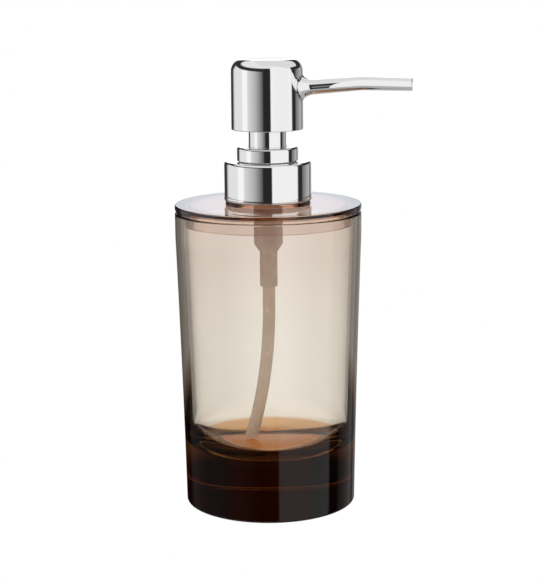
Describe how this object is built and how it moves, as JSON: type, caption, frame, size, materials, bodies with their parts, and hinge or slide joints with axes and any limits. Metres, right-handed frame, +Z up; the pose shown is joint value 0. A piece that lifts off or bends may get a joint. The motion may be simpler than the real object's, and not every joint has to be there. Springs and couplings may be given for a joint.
{
  "type": "soap pump dispenser",
  "caption": "Round tapered see-through tumbler with a thick dished foot, a disc lid and a metal-look hand pump with a slim side spout.",
  "frame": {"origin": "centre of the flat underside, on the surface the part stands on", "axes": "+Z up along the pump's axis, +X along the spout, away from the head"},
  "size_m": [0.0941, 0.074, 0.1783],
  "materials": {
    "tinted_acrylic": "clear moulded, light brown tint",
    "chrome_plating": "mirror plating on plastic",
    "natural_plastic": "uncoloured, slightly see-through",
    "tube_plastic": "milky, flexible",
    "sealing_rubber": "soft, matt",
    "steel": "bright",
    "liner_plastic": "moulded, dark"
  },
  "bodies": {
    "reservoir": {"tumbler": "tinted_acrylic", "lid": "tinted_acrylic"},
    "pump_unit": {"pump_cylinder": "natural_plastic", "neck_gasket": "sealing_rubber", "stem_guide": "natural_plastic", "stem_wiper": "sealing_rubber", "step_cover": "chrome_plating", "ball_stop": "natural_plastic", "dip_tube": "tube_plastic", "return_spring": "steel"},
    "closure": {"collar_shell": "chrome_plating", "collar_liner": "liner_plastic"},
    "plunger": {"stem": "natural_plastic", "stem_sleeve": "chrome_plating", "piston": "sealing_rubber", "piston_keeper": "natural_plastic"},
    "head": {"head_shell": "chrome_plating", "head_core": "natural_plastic", "spout": "chrome_plating", "spout_liner": "natural_plastic"},
    "inlet_valve": {"inlet_ball": "steel"},
    "outlet_valve": {"outlet_ball": "steel"}
  },
  "joints": [
    {"name": "pump_lift", "type": "slide", "parent": "reservoir", "child": "pump_unit", "axis": [0, 0, 1], "range_m": [0, 0.125]},
    {"name": "closure_turn", "type": "hinge", "parent": "pump_unit", "child": "closure", "pos_m": [0, 0, 0.13], "axis": [0, 0, 1], "continuous": true},
    {"name": "head_press", "type": "slide", "parent": "pump_unit", "child": "plunger", "axis": [0, 0, -1], "range_m": [0, 0.0115], "stiffness_N_per_m": 600, "springref_m": -0.01, "deforming": ["return_spring"]},
    {"name": "head_swivel", "type": "hinge", "parent": "plunger", "child": "head", "pos_m": [0, 0, 0.165], "axis": [0, 0, 1], "continuous": true},
    {"name": "inlet_valve_lift", "type": "slide", "parent": "pump_unit", "child": "inlet_valve", "axis": [0, 0, 1], "range_m": [0, 0.001]},
    {"name": "outlet_valve_lift", "type": "slide", "parent": "plunger", "child": "outlet_valve", "axis": [0, 0, 1], "range_m": [0, 0.0008]}
  ]
}
